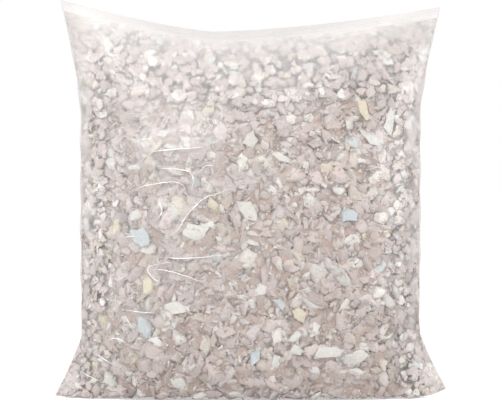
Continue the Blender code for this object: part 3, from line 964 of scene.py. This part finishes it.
def layer_of_flakes(chance, layer, maps, taken):
    """Points and middles of the flakes of one layer. The largest are laid first and closest to the film."""
    _, count, smallest, largest, nearest, deepest, tilt = layer
    sizes = np.sort(smallest + (largest - smallest) * chance.random(count) ** SIZE_CURVE)[::-1]
    turn, share = packed_places(chance, sizes, taken)
    slim = chance.uniform(*SLIMNESS, count)
    thick = np.clip(sizes * chance.uniform(*THICKNESS_SHARE, count), LEAST_THICKNESS, MOST_THICKNESS)
    shapes = flake_shapes(chance, sizes, slim, thick)
    facing = fill_normals(turn, share) * (SIDEWAYS, 1, 1)
    facing /= np.linalg.norm(facing, axis=1, keepdims=True)
    points = np.einsum("nij,nkj->nki", turned(chance, facing, tilt), shapes)
    outmost = np.einsum("nki,ni->nk", points, facing).max(axis=1)
    deeper = SIZE_ORDER * np.arange(count) / count + (1 - SIZE_ORDER) * chance.random(count)
    gap = nearest + (deepest - nearest) * deeper + outmost
    middles = fill_surface(turn, share) - facing * gap[:, None]
    points = pressed_outwards(points + middles[:, None], maps, gap)
    clearance = nearest + chance.uniform(FILM_CLEARANCE, 4 * FILM_CLEARANCE, (count, 1))
    return kept_under_film(points, maps, clearance), middles


def make_flakes(chance, material, maps, taken):
    """All the loose flakes, laid in layers under the film round the whole bag, in pieces by side."""
    made = []
    for layer in LAYERS:
        points, middles = layer_of_flakes(chance, layer, maps, taken)
        tints = flake_tints(chance, len(points))
        quarter = 2 * (middles[:, 1] > 0) + (middles[:, 0] > 0)
        for number in range(4):
            chosen = quarter == number
            label = f"flakes_{layer[0]}_{number + 1}"
            made.append(flakes_piece(label, points[chosen], tints[chosen], material))
    return made


def crumb_triangles():
    """The eight faces of a crumb, over its points along three axes and then against them."""
    faces = [(x, y, z) for x in (0, 3) for y in (1, 4) for z in (2, 5)]
    return np.array([face if sum(corner > 2 for corner in face) % 2 == 0 else face[::-1] for face in faces])


def make_crumbs(chance, material, maps):
    """Small crumbs of foam, strewn between and behind the outer flakes."""
    turn, share = chance.random((2, CRUMBS))
    sizes = chance.uniform(*CRUMB_SIZES, CRUMBS)
    octahedron = np.vstack([np.eye(3), -np.eye(3)])
    shapes = octahedron * chance.uniform(*CRUMB_REACH, (CRUMBS, 6, 1))
    shapes = shapes + chance.uniform(-CRUMB_SKEW, CRUMB_SKEW, (CRUMBS, 6, 3))
    normals = fill_normals(turn, share)
    points = np.einsum("nij,nkj->nki", turned(chance, normals, CRUMB_TILT), shapes * sizes[:, None, None])
    middles = fill_surface(turn, share) - normals * chance.uniform(*CRUMB_GAPS, (CRUMBS, 1))
    points = kept_under_film(points + middles[:, None], maps, CRUMB_CLEARANCE)
    return flakes_piece("foam_crumbs", points, flake_tints(chance, CRUMBS), material, crumb_triangles())


def rim_places(chance):
    """Places close to both side edges, in the corners at the foot, and under the top: x, z and face."""
    count = RIM_FLAKES + CORNER_FLAKES
    order = np.arange(count)
    corner = order >= RIM_FLAKES
    side = np.where(order % 2, 1, -1)
    highest = np.where(side < 0, LEFT_PEAK, RIGHT_PEAK) * FILL_LEVEL
    z = np.where(corner, CORNER_HEIGHT, highest) * chance.random(count) + RIM_FOOT
    inward = np.where(corner, CORNER_DEPTH, RIM_DEPTH) * chance.random(count)
    inward = inward + RIM_GAP * np.clip(z / highest, 0, 1) ** 2
    x = side * (side_reach(side, z) - inward)
    across = chance.uniform(-CROWN_REACH, CROWN_REACH, CROWN_FLAKES)
    level = CROWN_LEVEL - CROWN_DEPTH * chance.random(CROWN_FLAKES)
    x = np.concatenate([x, across * half_span(level)])
    z = np.concatenate([z, top_edge(across) * level])
    return x, z, np.where(chance.random(len(x)) < 0.5, FRONT, BACK)


def make_rim_flakes(chance, material, maps):
    """Flakes that fill the narrow spaces between the two sheets of film."""
    x, z, face = rim_places(chance)
    count = len(x)
    crown = np.arange(count) >= count - CROWN_FLAKES
    sizes = chance.uniform(*RIM_SIZES, count) * np.where(crown, CROWN_SWELL, 1.0)
    shapes = flake_shapes(chance, sizes, chance.uniform(*RIM_SLIMNESS, count), sizes * RIM_THICKNESS)
    depth = depth_at(maps, face, x, z)
    y = face * np.maximum(depth - chance.uniform(*RIM_GAPS, count), 0)
    slope_x = depth_at(maps, face, x + SLOPE_REACH, z) - depth_at(maps, face, x - SLOPE_REACH, z)
    slope_z = depth_at(maps, face, x, z + SLOPE_REACH) - depth_at(maps, face, x, z - SLOPE_REACH)
    facing = np.stack([-slope_x / (2 * SLOPE_REACH), face, -slope_z / (2 * SLOPE_REACH)], axis=-1)
    facing = np.clip(facing, -STEEPEST_FLAKE, STEEPEST_FLAKE)
    facing /= np.linalg.norm(facing, axis=1, keepdims=True)
    frames = turned(chance, facing, RIM_TILT)
    points = np.einsum("nij,nkj->nki", frames, shapes) + np.stack([x, y, z], axis=-1)[:, None]
    clearance = chance.uniform(FILM_CLEARANCE, 3 * FILM_CLEARANCE, (count, 1))
    points = kept_under_film(points, maps, clearance)
    return flakes_piece("flakes_rim", points, flake_tints(chance, count), material)


def make_core(material, maps):
    """What lies behind the loose flakes: the rough inside of the filling, tinted warmer than most flakes,
    partly as painted shade in the gaps between them.
    """
    turn = np.arange(CORE_COLUMNS) / CORE_COLUMNS
    share = CORE_LEVEL * np.arange(CORE_ROWS + 1) / CORE_ROWS
    turn, share = np.broadcast_arrays(turn[None, :], share[:, None])
    points = fill_surface(turn, share)
    normals = fill_normals(turn, np.maximum(share, CORE_FACING))
    rough = noise_at(*(points[..., axis] / CORE_ROUGH_SIZE for axis in range(3)))
    inset = np.minimum(CORE_DEPTH + CORE_ROUGHNESS * rough, CORE_INSET * np.abs(points[..., 1]))
    points = kept_under_film(points - normals * inset[..., None], maps, CORE_CLEARANCE)
    # a warm tint that is partly painted shade in the gaps between the flakes
    tint = np.broadcast_to(linear(CORE_TINT_AND_SHADE), (points[..., 0].size, 3))
    core = mesh_piece(
        "flakes_core",
        points.reshape(-1, 3),
        grid_triangles(CORE_ROWS + 1, CORE_COLUMNS, wrap=True),
        material,
        attributes={"tint": tint},
    )
    return made_whole(core, close_ends=True)


def coloured_nodes(colour):
    """Names of the solids of one colour."""
    return sorted(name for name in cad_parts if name.startswith(colour + "_flake"))


def solid_points(name):
    """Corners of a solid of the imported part."""
    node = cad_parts[name]
    return np.array([node.matrix_world @ corner.co for corner in node.data.vertices])


def make_coloured(chance, material, colour, maps):
    """The larger flakes of one colour, each as long, wide and thick as its solid, and lying as it does."""
    names = coloured_nodes(colour)
    frames, sizes, middles = [], [], []
    for name in names:
        points = solid_points(name)
        middle = (points.min(axis=0) + points.max(axis=0)) / 2
        axes = np.linalg.svd(points - points.mean(axis=0), full_matrices=False)[2].T
        if axes[1, 2] * middle[1] < 0:
            axes[:, 2] *= -1
        axes[:, 1] = np.cross(axes[:, 2], axes[:, 0])
        frames.append(axes)
        sizes.append(np.ptp((points - middle) @ axes, axis=0))
        middles.append(middle)
    sizes = np.array(sizes)
    shapes = flake_shapes(chance, sizes[:, 0] * COLOURED_SWELL, sizes[:, 1] / sizes[:, 0], sizes[:, 2])
    points = np.einsum("nij,nkj->nki", np.array(frames), shapes) + np.array(middles)[:, None]
    points = kept_under_film(points, maps, FILM_CLEARANCE)
    light = 1 + COLOURED_SPREAD * chance.standard_normal((len(names), 1))
    tints = linear(COLOURED[colour]) * light
    return flakes_piece(colour + "_flakes", points, tints, material), names


def make_stage():
    """A white floor, on which the camera sees only the bag's soft shadow."""
    material, tree = new_material("studio_white")
    link = tree.links.new
    diffuse = add_node(tree, "ShaderNodeBsdfDiffuse", Color=FLOOR_WHITE)
    path = tree.nodes.new("ShaderNodeLightPath")
    strength = add_node(tree, "ShaderNodeMapRange", To_Min=0.0, To_Max=FLOOR_GLOW)
    white = tree.nodes.new("ShaderNodeEmission")
    both = tree.nodes.new("ShaderNodeAddShader")
    out = tree.nodes.new("ShaderNodeOutputMaterial")
    link(path.outputs["Is Camera Ray"], strength.inputs["Value"])
    link(strength.outputs["Result"], white.inputs["Strength"])
    link(diffuse.outputs["BSDF"], both.inputs[0])
    link(white.outputs["Emission"], both.inputs[1])
    link(both.outputs["Shader"], out.inputs["Surface"])
    bpy.ops.mesh.primitive_plane_add(size=FLOOR_SIZE, location=(0, 0, 0))
    floor = bpy.context.object
    floor.name = "floor"
    floor.data.materials.append(material)


def make_world():
    """Soft white light from all round, and plain white behind the bag and mirrored in its film."""
    world = bpy.data.worlds.new("studio")
    bpy.context.scene.world = world
    world.use_nodes = True
    tree = world.node_tree
    link = tree.links.new
    back = tree.nodes["Background"]
    back.inputs["Color"].default_value = (1, 1, 1, 1)
    path = tree.nodes.new("ShaderNodeLightPath")
    seen = add_node(tree, "ShaderNodeMath", operation="MAXIMUM")
    strength = add_node(tree, "ShaderNodeMapRange", To_Min=SKY_LIGHT, To_Max=1.0)
    link(path.outputs["Is Camera Ray"], seen.inputs[0])
    link(path.outputs["Is Glossy Ray"], seen.inputs[1])
    link(seen.outputs["Value"], strength.inputs["Value"])
    link(strength.outputs["Result"], back.inputs["Strength"])


def make_lamp(name, place, size, watts):
    """A soft rectangular lamp that faces the bag."""
    light = bpy.data.lights.new(name, "AREA")
    light.shape = "RECTANGLE"
    light.size, light.size_y = size
    light.energy = watts
    lamp = bpy.data.objects.new(name, light)
    bpy.context.scene.collection.objects.link(lamp)
    lamp.location = place
    lamp.rotation_euler = (Vector(LAMP_TARGET) - Vector(place)).to_track_quat("-Z", "Y").to_euler()


def make_camera():
    """A long lens straight in front of the bag, which fills the height of the picture."""
    camera = bpy.data.cameras.new("camera")
    camera.sensor_width = SENSOR_WIDTH
    camera.lens = SENSOR_WIDTH * CAMERA_DISTANCE / FRAME_WIDTH
    camera.clip_end = FARTHEST_SEEN
    placed = bpy.data.objects.new("camera", camera)
    bpy.context.scene.collection.objects.link(placed)
    rise = math.radians(CAMERA_RISE)
    away = Vector((0, -math.cos(rise), math.sin(rise)))
    placed.location = Vector(CAMERA_TARGET) + CAMERA_DISTANCE * away
    placed.rotation_euler = (math.pi / 2 - rise, 0, 0)
    bpy.context.scene.camera = placed


def dress_film():
    """The film and its sharp folds, in place of the solid film_bag."""
    for film in (make_film(film_material()), make_creases(crease_material())):
        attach(film, "root")
        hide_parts("film_bag")


def dress_filling():
    """All the flakes, in place of the solid packed_flakes and of the solids of the coloured flakes."""
    chance = np.random.default_rng(SEED)
    foam = foam_material()
    maps = {FRONT: FRONT_MAP, BACK: DepthMap(BACK)}
    named = [name for colour in COLOURED for name in coloured_nodes(colour)]
    corners = [solid_points(name) for name in named]
    turn, share = flake_places([points.mean(axis=0) for points in corners])
    taken = turn, share, np.array([np.ptp(points, axis=0).max() for points in corners])
    pieces = make_flakes(chance, foam, maps, taken)
    pieces.append(make_rim_flakes(chance, foam, maps))
    pieces.append(make_crumbs(chance, foam, maps))
    pieces.append(make_core(foam, maps))
    for piece in pieces:
        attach(piece, "root")
        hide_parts("packed_flakes")
    for colour in COLOURED:
        piece, names = make_coloured(chance, foam, colour, maps)
        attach(piece, "root")
        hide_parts(*names)


def main():
    """The studio, the film and the filling."""
    bpy.context.scene.view_settings.view_transform = "Standard"
    make_camera()
    make_stage()
    make_world()
    for lamp in LAMPS:
        make_lamp(*lamp)
    dress_film()
    dress_filling()


FRONT_MAP = DepthMap(FRONT)
main()
